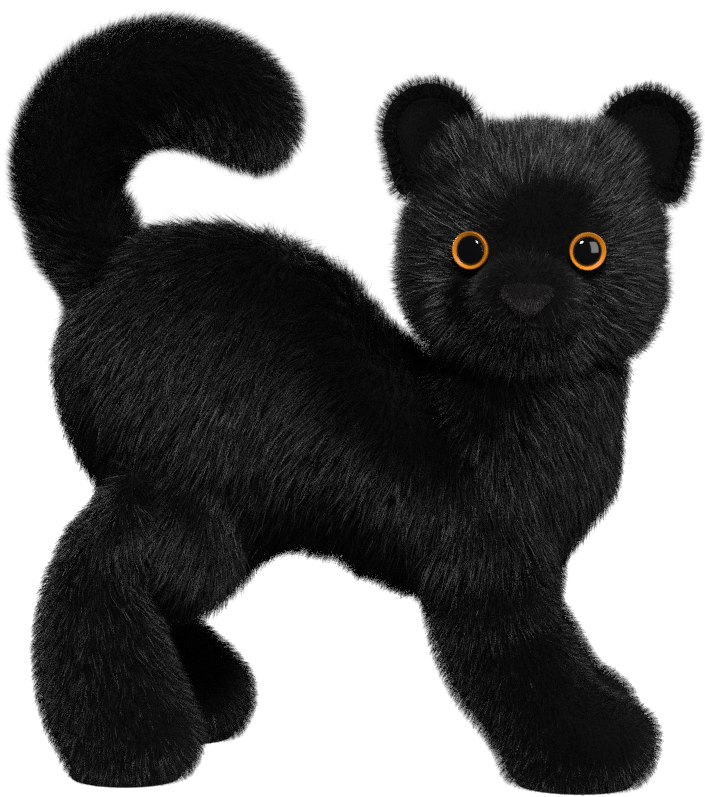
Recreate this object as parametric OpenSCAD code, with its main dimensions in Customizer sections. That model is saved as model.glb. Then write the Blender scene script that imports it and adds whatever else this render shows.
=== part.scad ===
// Standing plush cat: sewn skin panels over stuffing, head turned to its right,
// tail curled forward over the back. It faces +X, its left side is +Y.

/* [Fabric] */
// Thickness of a skin, backing cloth and pile together
skin = 6; // [4:0.5:7]
// Gap between a skin and the stuffing inside it
fill_gap = 0.4; // [0.3:0.1:0.8]
// Angle left open on each side of a long seam
seam_angle = 0.5; // [0.4:0.1:1]

/* [Torso] */
// Where the rump ends
rump_x = -101; // [-106:1:-98]
// Where the chest ends
chest_x = 92; // [90:1:96]
// Half width of the torso at its fullest
torso_half_width = 42; // [40:0.5:43]
// Half height of the rump at its fullest
rump_half_height = 57; // [54:0.5:58]
// Half angle of the belly panel, measured round the torso
belly_angle = 52; // [40:1:60]

/* [Head] */
// Distance of the head's middle ahead of the body's
head_x = 62; // [60:0.5:64]
// Distance of the head's middle to the left of the body's
head_y = -12; // [-14:0.5:-10]
// Height of the head's middle
head_z = 177; // [177:0.5:180]
// Half depth of the head, front to back
head_half_depth = 39; // [37:0.5:39.5]
// Half width of the head
head_half_width = 46; // [45:0.5:47]
// Half height of the head
head_half_height = 43; // [41:0.5:43.5]
// Turn of the head from straight ahead
head_turn = -88; // [-95:1:-60]
// Half width of the gusset that runs over the middle of the head
gusset_half = 12; // [9:0.5:12.5]
// How far the muzzle stands out from the face
muzzle_depth = 12; // [8:0.5:14]

/* [Eyes] */
// Diameter of an eye
eye_d = 12; // [9:0.5:13]
// Distance of each eye from the middle of the face
eye_side = 18.5; // [18.5:0.5:22]
// Diameter of the shank behind an eye
shank_d = 4; // [3:0.5:5]
// Length of the shank
shank_length = 13; // [11:0.5:15]
// Diameter of the locking washer
washer_d = 14; // [11:0.5:16]

/* [Ears] */
// Radius of an ear
ear_r = 17; // [14:0.5:18]
// How far an ear's base reaches towards the cheek
ear_flare = 15.5; // [14:0.5:16]
// Distance of an ear's centre from the head's centre
ear_reach = 51.5; // [50:0.5:55]
// Lean of an ear from straight up, seen from the front
ear_lean = 43; // [38:1:48]
// Gap between an ear and the head
ear_gap = 1.8; // [1.6:0.1:2.5]

/* [Legs] */
// Distance of a hind foot from the middle of the body
hind_stance = 33; // [31:0.5:35]
// Distance of a forefoot from the middle of the body
fore_stance = 23; // [22.5:0.5:26]
// Thickness of a sole
sole_t = 3; // [2:0.5:4]

/* [Tail] */
// Half thickness of the tail near its root
tail_root_r = 19.5; // [16:0.5:20]
// Half thickness of the tail at its rounded tip
tail_tip_r = 20; // [17:0.5:21]

/* [Hidden] */

// The row's origin is at the middle of the cat's box, on the floor
mid_x = 0.8;
mid_y = -5.2;

black = [0.035, 0.033, 0.036];
charcoal = [0.07, 0.065, 0.07];
wadding = [0.86, 0.86, 0.84];
amber = [0.85, 0.45, 0.05];
clear_dome = [0.08, 0.05, 0.04];
nylon = [0.6, 0.6, 0.58];

head_centre = [head_x, head_y, head_z];
head_half = [head_half_depth, head_half_width, head_half_height];

pole_r = 1;         // radius left at the closed end of a skin
seam_gap = 0.3;     // gap between pieces that are sewn together
thread_r = 0.5;     // half thickness of the sewing thread
// Lengths that set how far an inset draws in the ends of each form
torso_run = 200;
leg_run = 90;
tail_run = 190;

// Stations of each soft form, from one end to the other.
// Torso: x, height of the middle, half height, half width
TORSO = [
    [rump_x, 133, rump_half_height - 1, torso_half_width],
    [-69, 125, rump_half_height + 4, torso_half_width + 1],
    [-37, 124, rump_half_height, torso_half_width + 1],
    [-4.5, 120, 48, torso_half_width - 1],
    [28, 99, 38.5, torso_half_width - 1],
    [60, 95, 36, torso_half_width - 1],
    [chest_x, 112, 33, 35]
];
// Legs: x, offset out from the stance, height, half length, half width; the sole comes first
RIGHT_HIND_LEG = [
    [-71.5, 0, sole_t + seam_gap, 23.5, 20],
    [-72.5, 0, 20, 26.5, 21.5],
    [-77, 0, 42, 23, 20],
    [-79, 1, 64, 21, 19],
    [-77, 5, 87, 21, 17]
];
// The left hind foot is set a little further forward
LEFT_HIND_LEG = [for (i = [0 : 4]) RIGHT_HIND_LEG[i] + [i < 2 ? 6 - i : 0, 0, 0, 0, 0]];
RIGHT_FORE_LEG = [
    [77, 0, sole_t + seam_gap, 24.5, 19],
    [75.5, 0, 17, 27.5, 20],
    [64.5, 0, 34, 24.5, 19],
    [54, 2, 51, 24, 18],
    [47, 10.5, 67.5, 22, 16]
];
LEFT_FORE_LEG = [
    [68, 0, sole_t + seam_gap, 24.5, 19],
    [66.5, 0, 17, 26, 20],
    [56.5, 0, 34, 23.5, 19],
    [50, 2, 51, 23, 18],
    [46, 10.5, 67.5, 22, 16]
];
// Tail, along its middle: x, z, half thickness
TAIL = [
    [-86, 175, tail_root_r],
    [-94, 191, tail_root_r],
    [-91.5, 210, tail_root_r],
    [-79, 224.5, tail_root_r],
    [-61, 229.5, tail_tip_r],
    [-42, 224, tail_tip_r],
    [-22, 210.5, tail_tip_r]
];

RINGS = 13;         // rings along a form
SIDES = 28;         // points round a form

function clamp(x, low, high) = max(low, min(high, x));

// Smooth curve through rows of numbers, at t from 0 to 1
function along(rows, t) =
    let (
        last = len(rows) - 1,
        i = clamp(floor(t * last), 0, last - 1),
        f = t * last - i,
        a = rows[max(i - 1, 0)],
        b = rows[i],
        c = rows[i + 1],
        d = rows[min(i + 2, last)]
    )
    0.5 * (2 * b + (c - a) * f + (2 * a - 5 * b + 4 * c - d) * f * f + (3 * b - a - 3 * c + d) * f * f * f);

// Rounding towards both ends, or only towards the far end
function both_ends(t, p) = pow(max(1 - pow(abs(2 * t - 1), p), 0), 1 / p);
function far_end(t, p) = t < 0.5 ? 1 : both_ends(t, p);

// Evenly spaced values whose steps get shorter towards both ends, or towards the far end
function eased(i, n) = (1 - cos(180 * i / n)) / 2;
function eased_far(i, n) = sin(90 * i / n);

// A station is [centre, first half axis, second half axis]; inset moves it inwards
function torso_ring(t, inset) =
    let (
        u = inset / torso_run + t * (1 - 2 * inset / torso_run),
        row = along(TORSO, u),
        k = both_ends(u, 3)
    )
    [
        [row[0], 0, row[1]],
        [0, 0, max(row[2] * k - inset, pole_r)],
        [0, -max(row[3] * k - inset, pole_r), 0]
    ];
function torso_rings(inset) = [for (i = [0 : RINGS + 3]) torso_ring(eased(i, RINGS + 3), inset)];

function leg_ring(rows, stance, side, t, inset) =
    let (
        row = along(rows, t * (1 - inset / leg_run)),
        k = far_end(t, 2.4)
    )
    [
        [row[0], side * (stance + row[1]), row[2]],
        [max(row[3] * k - inset, pole_r), 0, 0],
        [0, max(row[4] * k - inset, pole_r), 0]
    ];
function leg_rings(rows, stance, side, inset) =
    [for (i = [0 : RINGS]) leg_ring(rows, stance, side, eased_far(i, RINGS), inset)];

function tail_ring(t, inset) =
    let (
        u = inset / tail_run + t * (1 - 2 * inset / tail_run),
        row = along(TAIL, u),
        ahead = along(TAIL, min(u + 0.01, 1)),
        behind = along(TAIL, max(u - 0.01, 0)),
        step = [ahead[0] - behind[0], ahead[1] - behind[1]],
        run = step / norm(step),
        r = max(row[2] * both_ends(u, 2.8) - inset, pole_r)
    )
    [[row[0], 0, row[1]], r * [run[1], 0, -run[0]], [0, r, 0]];
function tail_rings(inset) = [for (i = [0 : RINGS + 5]) tail_ring(eased(i, RINGS + 5), inset)];

// Head stations run from the head's right to its left, between two angles from its middle
function head_ring(angle, inset) =
    [
        [0, (head_half[1] - inset) * sin(angle), 0],
        [0, 0, max((head_half[2] - inset) * cos(angle), pole_r)],
        [max((head_half[0] - inset) * cos(angle), pole_r), 0, 0]
    ];
function head_rings(from_y, to_y, inset, n) =
    let (
        a = asin(clamp(from_y / (head_half[1] - inset), -1, 1)),
        b = asin(clamp(to_y / (head_half[1] - inset), -1, 1))
    )
    [for (i = [0 : n]) head_ring(a + (b - a) * i / n, inset)];

// Points of a row of stations between two angles
function ring_points(rings, from_a, to_a, n) =
    [for (r = rings) for (j = [0 : n])
        let (a = from_a + (to_a - from_a) * j / n) r[0] + r[1] * cos(a) + r[2] * sin(a)];

// Two triangles between rows i and i + 1 of a grid; w points a row, flip turns them inside out
function tiles(i, j, w, start, flip) =
    let (
        a = start + i * w + j,
        b = a + 1,
        c = b + w,
        d = a + w
    )
    flip ? [[a, b, c], [a, c, d]] : [[a, d, c], [a, c, b]];

// Skin panel: the part of a skin between two angles, with its cut edges closed
module panel(outer, inner, from_a, to_a, n) {
    rows = len(outer);
    w = n + 1;
    m = rows * w;
    polyhedron(
        points = concat(ring_points(outer, from_a, to_a, n), ring_points(inner, from_a, to_a, n)),
        faces = concat(
            [for (i = [0 : rows - 2]) for (j = [0 : n - 1]) each tiles(i, j, w, 0, false)],
            [for (i = [0 : rows - 2]) for (j = [0 : n - 1]) each tiles(i, j, w, m, true)],
            [for (i = [0 : rows - 2]) each [
                [i * w, m + i * w, m + (i + 1) * w],
                [i * w, m + (i + 1) * w, (i + 1) * w]
            ]],
            [for (i = [0 : rows - 2]) let (a = i * w + n, b = a + w) each [
                [a, b, m + b],
                [a, m + b, m + a]
            ]],
            [for (j = [0 : n - 1]) each [
                [j, j + 1, m + j + 1],
                [j, m + j + 1, m + j]
            ]],
            [for (j = [0 : n - 1]) let (a = (rows - 1) * w + j) each [
                [a, m + a, m + a + 1],
                [a, m + a + 1, a + 1]
            ]]
        )
    );
}

// Closed round form through all stations
module form(rings, n) {
    rows = len(rings);
    pts = [for (r = rings) for (j = [0 : n - 1]) r[0] + r[1] * cos(360 * j / n) + r[2] * sin(360 * j / n)];
    polyhedron(
        points = pts,
        faces = concat(
            [for (i = [0 : rows - 2]) for (j = [0 : n - 1])
                let (a = i * n + j, b = i * n + (j + 1) % n) each [[a, a + n, b + n], [a, b + n, b]]],
            [[for (j = [0 : n - 1]) j]],
            [[for (j = [n - 1 : -1 : 0]) (rows - 1) * n + j]]
        )
    );
}

// Everything is drawn with the cat's own middle line at y = 0, then set on the origin
module placed() {
    translate([-mid_x, -mid_y, 0]) children();
}

// --- torso ---

module torso_panel(from_a, to_a, n) {
    placed() panel(torso_rings(0), torso_rings(skin), from_a + seam_angle, to_a - seam_angle, n);
}

module torso_right_panel() {
    color(black) torso_panel(0, 180 - belly_angle, 9);
}

module torso_left_panel() {
    color(black) torso_panel(180 + belly_angle, 360, 9);
}

module belly_panel() {
    color(black) torso_panel(180 - belly_angle, 180 + belly_angle, 8);
}

module torso_stuffing() {
    color(wadding) placed() form(torso_rings(skin + fill_gap), 20);
}

// --- neck ---

neck_centre = [head_centre[0], head_centre[1], head_centre[2] - head_half[2] - 0.8];
neck_r = 14;

module neck_thread() {
    color(black) placed() translate(neck_centre)
        rotate_extrude() translate([neck_r, 0]) circle(r = thread_r, $fn = 16);
}

// --- head, drawn facing +X about its own centre ---

module head_placed() {
    placed() translate(head_centre) rotate([0, 0, head_turn]) children();
}

module head_side_panel(side) {
    from_y = side > 0 ? gusset_half + seam_gap : -head_half[1];
    to_y = side > 0 ? head_half[1] : -gusset_half - seam_gap;
    outer = head_rings(from_y, to_y, 0, 8);
    inner_from_y = side > 0 ? from_y : -head_half[1] + skin;
    inner_to_y = side > 0 ? head_half[1] - skin : to_y;
    inner = head_rings(inner_from_y, inner_to_y, skin, 8);
    difference() {
        form(outer, SIDES);
        form(side > 0
            ? concat([[[0, from_y - 1, 0], inner[0][1], inner[0][2]]], inner)
            : concat(inner, [[[0, to_y + 1, 0], inner[8][1], inner[8][2]]]), SIDES);
    }
}

module head_right_panel() {
    color(black) head_placed() head_side_panel(-1);
}

module head_left_panel() {
    color(black) head_placed() head_side_panel(1);
}

module head_gusset() {
    color(black) head_placed() difference() {
        form(head_rings(-gusset_half, gusset_half, 0, 4), SIDES);
        form([for (y = [-gusset_half - 1, -gusset_half / 2, 0, gusset_half / 2, gusset_half + 1])
            let (k = sqrt(1 - pow(y / (head_half[1] - skin), 2)))
            [[0, y, 0], [0, 0, (head_half[2] - skin) * k], [(head_half[0] - skin) * k, 0, 0]]], SIDES);
    }
}

module head_stuffing() {
    inset = skin + fill_gap;
    color(wadding) head_placed() form(head_rings(-head_half[1] + inset, head_half[1] - inset, inset, 10), 20);
}

// Front of the face at a place across and up from the head's centre
function face_x(y, z) = head_half[0] * sqrt(max(1 - pow(y / head_half[1], 2) - pow(z / head_half[2], 2), 0));

muzzle_z = -12.5;
muzzle_r = [19.5, 16.5];    // half width and half height of the muzzle
// Front of the muzzle
function muzzle_x(y, z) =
    let (q = pow(y / muzzle_r[0], 2) + pow((z - muzzle_z) / muzzle_r[1], 2))
    face_x(y, z) + seam_gap + 1 + muzzle_depth * sqrt(max(1 - q, 0));

// Pad over a rounded patch of the face: its back and front are heights above it
module face_pad(centre, half, back, front, rings, n) {
    spot = function (i, j) [
        centre[0] + half[0] * i / rings * cos(360 * j / n),
        centre[1] + half[1] * i / rings * sin(360 * j / n)
    ];
    layer = function (height) concat(
        [[height(centre[0], centre[1]), centre[0], centre[1]]],
        [for (i = [1 : rings]) for (j = [0 : n - 1]) let (s = spot(i, j)) [height(s[0], s[1]), s[0], s[1]]]
    );
    m = 1 + rings * n;
    at = function (i, j) i == 0 ? 0 : 1 + (i - 1) * n + j % n;
    sheet = function (start, flip) [
        for (i = [0 : rings - 1]) for (j = [0 : n - 1])
            let (
                a = start + at(i, j),
                b = start + at(i, j + 1),
                c = start + at(i + 1, j + 1),
                d = start + at(i + 1, j)
            )
            each i == 0
                ? [flip ? [a, d, c] : [a, c, d]]
                : flip ? [[a, d, c], [a, c, b]] : [[a, c, d], [a, b, c]]
    ];
    polyhedron(
        points = concat(layer(front), layer(back)),
        faces = concat(
            sheet(0, false),
            sheet(m, true),
            [for (j = [0 : n - 1])
                let (a = at(rings, j), b = at(rings, j + 1)) each [[a, b, m + b], [a, m + b, m + a]]]
        )
    );
}

module muzzle_panel() {
    back = function (y, z) face_x(y, z) + seam_gap;
    front = function (y, z) muzzle_x(y, z);
    color(black) head_placed() face_pad([0, muzzle_z], muzzle_r, back, front, 6, 24);
}

nose_z = -11.5;
nose_half = [6.5, 4.5];

// Front of the crowned nose
nose_x = function (y, z)
    let (q = pow(y / nose_half[0], 2) + pow((z - nose_z) / nose_half[1], 2))
    muzzle_x(y, z) + 0.8 + 1.2 * sqrt(max(1.03 - q, 0));

module nose_patch() {
    color(charcoal) head_placed()
        face_pad([0, nose_z], nose_half, function (y, z) muzzle_x(y, z) + 0.2,
            nose_x, 3, 16);
}

mouth_side = 3.6;           // how far each half of the mouth lies from the middle
mouth_z = -18.5;
mouth_half = [2.8, 0.8];

module mouth_stitch() {
    color(black) head_placed()
        for (side = [-1, 1])
            face_pad([side * mouth_side, mouth_z], mouth_half, function (y, z) muzzle_x(y, z) + 0.2,
                function (y, z) muzzle_x(y, z) + 1, 2, 10);
}

// --- eyes, each drawn along +X with the face's surface at x = 0 ---

eye_z = 1.5;
eye_out = asin(eye_side / head_half[1]) * 0.8;      // how far each eye looks outwards
flange_t = 2;
washer_t = 1.5;

module eye_placed(side) {
    head_placed() translate([face_x(eye_side, eye_z), side * eye_side, eye_z])
        rotate([0, 0, side * eye_out]) rotate([0, 90, 0]) children();
}

module eye_dome() {
    cap_h = eye_d * 0.33;
    r = (pow(eye_d / 2, 2) + pow(cap_h, 2)) / (2 * cap_h);
    translate([0, 0, flange_t + 1.2 + 0.05]) intersection() {
        translate([0, 0, cap_h - r]) sphere(r = r, $fn = 48);
        cylinder(r = eye_d, h = eye_d);
    }
}

module eye_backing() {
    translate([0, 0, 1.2]) cylinder(d = eye_d, h = flange_t, $fn = 48);
    translate([0, 0, 1.2 - shank_length]) cylinder(d = shank_d, h = shank_length + 0.1, $fn = 24);
}

module eye_washer() {
    translate([0, 0, -skin - 3.4]) difference() {
        cylinder(d = washer_d, h = washer_t, $fn = 40);
        translate([0, 0, -1]) cylinder(d = shank_d + 0.1, h = washer_t + 2, $fn = 24);
    }
}

// --- ears, drawn upright on the head with their front towards +X ---

ear_t = 4.5;            // thickness of an ear's back
lining_t = 2;           // thickness of its lining
lining_inset = 3.5;     // width of the rim round the lining

// Round ear that flares towards the cheek; inset draws its edge in
module ear_outline(side, inset) {
    difference() {
        hull() {
            translate([0, ear_reach]) circle(r = ear_r - inset, $fn = 48);
            translate([side * (ear_flare - inset), ear_reach - 7]) circle(r = 3, $fn = 16);
        }
        circle(r = head_half[1] + ear_gap, $fn = 96);
    }
}

module ear_placed(side) {
    head_placed() rotate([-side * ear_lean, 0, 0]) rotate([90, 0, 90]) children();
}

module ear_back(side) {
    color(black) ear_placed(side) translate([0, 0, 0.5 - ear_t]) linear_extrude(ear_t) ear_outline(side, 0);
}

module ear_lining(side) {
    color(charcoal) ear_placed(side) translate([0, 0, 0.6])
        linear_extrude(lining_t) ear_outline(side, lining_inset);
}

// --- legs ---

// A leg's panels meet in a seam down its front and one down its back
module leg_panel(rows, stance, side, half) {
    from_a = side * half > 0 ? 0 : 180;
    color(black) placed()
        panel(leg_rings(rows, stance, side, 0), leg_rings(rows, stance, side, skin - 1),
            from_a + seam_angle, from_a + 180 - seam_angle, 14);
}

module leg_sole(rows, stance, side) {
    sole = rows[0];
    color(charcoal) placed() translate([sole[0], side * (stance + sole[1]), 0])
        linear_extrude(sole_t)
            polygon([for (a = [0 : 15 : 345]) [sole[3] * cos(a), sole[4] * sin(a)]]);
}

module leg_stuffing(rows, stance, side) {
    color(wadding) placed() form(leg_rings(rows, stance, side, skin - 1 + fill_gap), 16);
}

// --- tail ---

module tail_panel(from_a) {
    color(black) placed()
        panel(tail_rings(0), tail_rings(skin - 1), from_a + seam_angle, from_a + 180 - seam_angle, 12);
}

module tail_stuffing() {
    color(wadding) placed() form(tail_rings(skin - 1 + fill_gap), 16);
}

torso_right_panel();
torso_left_panel();
belly_panel();
torso_stuffing();
neck_thread();
head_right_panel();
head_left_panel();
head_gusset();
head_stuffing();
muzzle_panel();
nose_patch();
mouth_stitch();
color(clear_dome) eye_placed(-1) eye_dome();  // right_eye_dome
color(amber) eye_placed(-1) eye_backing();  // right_eye_backing
color(nylon) eye_placed(-1) eye_washer();  // right_eye_washer
color(clear_dome) eye_placed(1) eye_dome();  // left_eye_dome
color(amber) eye_placed(1) eye_backing();  // left_eye_backing
color(nylon) eye_placed(1) eye_washer();  // left_eye_washer
ear_back(-1);  // right_ear_back
ear_lining(-1);  // right_ear_lining
ear_back(1);  // left_ear_back
ear_lining(1);  // left_ear_lining
leg_panel(RIGHT_HIND_LEG, hind_stance, -1, 1);  // right_hind_outer_panel
leg_panel(RIGHT_HIND_LEG, hind_stance, -1, -1);  // right_hind_inner_panel
leg_sole(RIGHT_HIND_LEG, hind_stance, -1);  // right_hind_sole
leg_stuffing(RIGHT_HIND_LEG, hind_stance, -1);  // right_hind_stuffing
leg_panel(LEFT_HIND_LEG, hind_stance, 1, 1);  // left_hind_outer_panel
leg_panel(LEFT_HIND_LEG, hind_stance, 1, -1);  // left_hind_inner_panel
leg_sole(LEFT_HIND_LEG, hind_stance, 1);  // left_hind_sole
leg_stuffing(LEFT_HIND_LEG, hind_stance, 1);  // left_hind_stuffing
leg_panel(RIGHT_FORE_LEG, fore_stance, -1, 1);  // right_fore_outer_panel
leg_panel(RIGHT_FORE_LEG, fore_stance, -1, -1);  // right_fore_inner_panel
leg_sole(RIGHT_FORE_LEG, fore_stance, -1);  // right_fore_sole
leg_stuffing(RIGHT_FORE_LEG, fore_stance, -1);  // right_fore_stuffing
leg_panel(LEFT_FORE_LEG, fore_stance, 1, 1);  // left_fore_outer_panel
leg_panel(LEFT_FORE_LEG, fore_stance, 1, -1);  // left_fore_inner_panel
leg_sole(LEFT_FORE_LEG, fore_stance, 1);  // left_fore_sole
leg_stuffing(LEFT_FORE_LEG, fore_stance, 1);  // left_fore_stuffing
tail_panel(180);  // tail_right_panel
tail_panel(0);  // tail_left_panel
tail_stuffing();
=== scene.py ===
"""Plush cat: cloth skins, combed pile, eyes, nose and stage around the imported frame."""

import math
from functools import partial

import bmesh
import bpy
import numpy as np
from mathutils import Matrix, Vector
from mathutils.bvhtree import BVHTree


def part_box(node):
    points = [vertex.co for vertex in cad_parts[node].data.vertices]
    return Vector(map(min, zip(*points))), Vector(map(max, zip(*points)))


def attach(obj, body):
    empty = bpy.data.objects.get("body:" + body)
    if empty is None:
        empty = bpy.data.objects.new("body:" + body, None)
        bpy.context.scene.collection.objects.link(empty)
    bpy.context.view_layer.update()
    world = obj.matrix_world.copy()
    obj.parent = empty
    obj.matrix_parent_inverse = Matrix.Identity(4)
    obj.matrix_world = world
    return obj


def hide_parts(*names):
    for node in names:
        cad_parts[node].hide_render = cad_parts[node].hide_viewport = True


bl_info = {
    "name": "Plush Cat",
    "version": (1, 0, 0),
    "blender": (4, 5, 0),
    "location": "View3D > Sidebar > Plush Cat",
    "description": "Builds a standing plush cat around its packed frame",
    "category": "Object",
}

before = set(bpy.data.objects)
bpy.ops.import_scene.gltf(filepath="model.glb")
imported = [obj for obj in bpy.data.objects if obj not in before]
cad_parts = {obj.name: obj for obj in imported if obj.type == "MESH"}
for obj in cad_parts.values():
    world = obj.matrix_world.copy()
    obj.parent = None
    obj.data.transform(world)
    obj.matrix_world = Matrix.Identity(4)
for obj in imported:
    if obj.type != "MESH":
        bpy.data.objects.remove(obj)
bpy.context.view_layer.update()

MM = 0.001
UP = np.array([0.0, 0.0, 1.0])
LEGS = ("right_hind", "left_hind", "right_fore", "left_fore")
BODIES = {"torso": "torso", "head": "head", "tail": "tail", **{leg: leg + "_leg" for leg in LEGS}}
SIDES = {"right": -1.0, "left": 1.0}
SKINS = {}
MOST_TRIANGLES = 190000  # in one piece of pile
ABOVE_FLOOR = 0.4  # mm, lowest that a strand may reach


# ---- places taken from the frame


def middle(node):
    """Centre of a CAD node's box."""
    low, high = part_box(node)
    return np.array((low + high) / 2)


def node_points(node):
    """Vertices of a CAD node."""
    return np.array([v.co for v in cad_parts[node].data.vertices])


def unit(v):
    """Vector or rows of vectors scaled to length one."""
    size = np.linalg.norm(v, axis=-1, keepdims=True)
    return v / np.maximum(size, 1e-12)


HEAD = middle("head_stuffing")
EYES = {side: middle(f"{side}_eye_dome") for side in SIDES}
EAR_LEAN = math.radians(43)
EAR_RADIUS = 17.0  # mm, as all the sizes below
EYE_RADIUS = 6.0
EYE_DOME = 3.9  # rise of the clear cap
EYE_SINK = 2.0  # how much deeper an eye sits than its CAD node
EYE_CLEAR = 7.6  # bare skin round the middle of an eye
NOSE_HALF = (7.4, 5.2)  # half width and half height
FACE = unit(((EYES["right"] + EYES["left"]) / 2 - HEAD) * np.array([1.0, 1.0, 0.0]))
LEFTWARD = np.cross(UP, FACE)


def on_head(forward, left, up):
    """Point from distances, in mm, ahead, left and up of the head's centre."""
    return HEAD + (FACE * forward + LEFTWARD * left + UP * up) * MM


def head_parts(points):
    """Distances, in mm, ahead, left and up of the head's centre for rows of points."""
    p = (points - HEAD) / MM
    return p @ FACE, p @ LEFTWARD, p @ UP


# ---- sizes and colours


class PlushPile(bpy.types.PropertyGroup):
    """Pile of the plush."""

    torso_mm: bpy.props.FloatProperty(
        name="Torso pile", description="Length of the torso's pile in mm", default=11.0, min=4.0, max=16.0)
    head_mm: bpy.props.FloatProperty(
        name="Head pile", description="Length of the pile at the back of the head in mm",
        default=8.0, min=3.0, max=12.0)
    muzzle_mm: bpy.props.FloatProperty(
        name="Muzzle pile", description="Length of the trimmed pile on the muzzle in mm",
        default=3.0, min=1.0, max=6.0)
    leg_mm: bpy.props.FloatProperty(
        name="Leg pile", description="Length of the pile on the legs in mm", default=6.0, min=3.0, max=12.0)
    paw_mm: bpy.props.FloatProperty(
        name="Paw pile", description="Length of the pile on the paws in mm", default=4.5, min=2.0, max=10.0)
    tail_mm: bpy.props.FloatProperty(
        name="Tail pile", description="Length of the tail's pile in mm", default=7.0, min=3.0, max=14.0)
    ear_mm: bpy.props.FloatProperty(
        name="Ear pile", description="Length of the pile on the backs of the ears in mm",
        default=4.2, min=2.0, max=10.0)
    density: bpy.props.FloatProperty(
        name="Strands", description="Strands of long pile on each square mm", default=3.5, min=0.1, max=6.0)
    width_mm: bpy.props.FloatProperty(
        name="Strand width", description="Width of a strand at its root in mm",
        default=0.14, min=0.05, max=0.6)
    black: bpy.props.FloatVectorProperty(
        name="Pile colour", description="Colour of the pile near its root", subtype="COLOR", size=3,
        default=(0.0006, 0.00058, 0.00072), min=0.0, max=1.0)
    # Tip colour: painted glints that stand in for the shine of the fibres.
    glint_tips: bpy.props.FloatVectorProperty(
        name="Tip colour", description="Colour of the paler tips", subtype="COLOR", size=3,
        default=(0.011, 0.0092, 0.0078), min=0.0, max=1.0)


class PlushFace(bpy.types.PropertyGroup):
    """Eyes and nose."""

    pupil_share: bpy.props.FloatProperty(
        name="Pupil", description="Diameter of the pupil as a share of the eye's",
        default=0.80, min=0.3, max=0.95)
    amber: bpy.props.FloatVectorProperty(
        name="Iris colour", description="Colour of the ring round the pupil", subtype="COLOR", size=3,
        default=(0.58, 0.18, 0.006), min=0.0, max=1.0)
    nose: bpy.props.FloatVectorProperty(
        name="Nose colour", description="Colour of the nose patch", subtype="COLOR", size=3,
        default=(0.011, 0.009, 0.009), min=0.0, max=1.0)


class PlushStage(bpy.types.PropertyGroup):
    """Camera and light."""

    azimuth: bpy.props.FloatProperty(
        name="Azimuth", description="Camera's angle round the cat", subtype="ANGLE", default=math.radians(8))
    elevation: bpy.props.FloatProperty(
        name="Elevation", description="Camera's angle above the horizon", subtype="ANGLE",
        default=math.radians(7))
    distance: bpy.props.FloatProperty(
        name="Distance", description="Camera's distance from the cat", subtype="DISTANCE", unit="LENGTH",
        default=1.2)
    view_height: bpy.props.FloatProperty(
        name="View height", description="Height of the picture at the cat", subtype="DISTANCE", unit="LENGTH",
        default=0.2654)
    key_power: bpy.props.FloatProperty(
        name="Key light", description="Power of the key light in watts", subtype="POWER",
        default=17.0, min=0.0)
    room_light: bpy.props.FloatProperty(
        name="Room light", description="Strength of the light from the room", default=0.06, min=0.0)


# ---- materials


def scaled(color, by):
    """Colour made lighter or darker."""
    return tuple(c * by for c in color)


def add_node(tree, kind, feeds=None, **settings):
    """New shader node; feeds gives its inputs a value or another node's socket."""
    node = tree.nodes.new(kind)
    for name, value in settings.items():
        setattr(node, name, value)
    for key, value in (feeds or {}).items():
        if isinstance(value, bpy.types.NodeSocket):
            tree.links.new(value, node.inputs[key])
        else:
            node.inputs[key].default_value = value
    return node


def new_material(name, color, roughness, specular=0.3):
    """Material with one Principled shader; returns it with its node tree and shader."""
    material = bpy.data.materials.new(name)
    material.use_nodes = True
    tree = material.node_tree
    shader = tree.nodes["Principled BSDF"]
    shader.inputs["Base Color"].default_value = (*color, 1.0)
    shader.inputs["Roughness"].default_value = roughness
    shader.inputs["Specular IOR Level"].default_value = specular
    return material, tree, shader


def ramp(tree, source, stops):
    """Colour ramp fed by a socket; stops are (position, colour)."""
    node = add_node(tree, "ShaderNodeValToRGB", {"Fac": source})
    elements = node.color_ramp.elements
    while len(elements) < len(stops):
        elements.new(0.5)
    for element, (position, color) in zip(elements, stops):
        element.position = position
        element.color = (*color, 1.0)
    return node.outputs["Color"]


def paint(tree, shader, source, *stops):
    """Colours a shader by a ramp fed by a socket."""
    tree.links.new(ramp(tree, source, stops), shader.inputs["Base Color"])


def mix(tree, factor, a, b, how="MIX"):
    """Colour mix of two sockets; factor is a socket or a number."""
    feeds = {0: factor, 6: a, 7: b}
    return add_node(tree, "ShaderNodeMix", feeds, data_type="RGBA", blend_type=how).outputs[2]


def grain(tree, kind, **feeds):
    """Texture in the piece's own coordinates."""
    place = add_node(tree, "ShaderNodeTexCoord")
    return add_node(tree, kind, {"Vector": place.outputs["Object"], **feeds}).outputs["Fac"]


def pile_material(name, black, glint_tips, roughness=0.45, specular=0.42):
    """Strands: dark at the root, with some strands paler towards the tip, where the paler colour is a painted
    glint.
    The map's first coordinate is the strand's tint, the second its place from root to tip."""
    material, tree, shader = new_material(name, black, roughness, specular)
    place = add_node(tree, "ShaderNodeUVMap", uv_map="OFBake")
    tint, height, _ = add_node(tree, "ShaderNodeSeparateXYZ", {0: place.outputs["UV"]}).outputs
    deep = scaled(black, 0.35)
    # Pale and brownish tips of some strands: painted glints.
    brown_glint = tuple(c * k for c, k in zip(glint_tips, (1.0, 0.86, 0.7)))
    plain = ramp(tree, height, [(0.0, deep), (0.5, black), (1.0, scaled(black, 1.6))])
    pale = ramp(tree, height, [(0.0, deep), (0.45, black), (0.9, glint_tips), (1.0, brown_glint)])
    which = ramp(tree, tint, [(0.55, (0, 0, 0)), (0.98, (1, 1, 1))])
    tree.links.new(mix(tree, which, plain, pale), shader.inputs["Base Color"])
    return material


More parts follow.
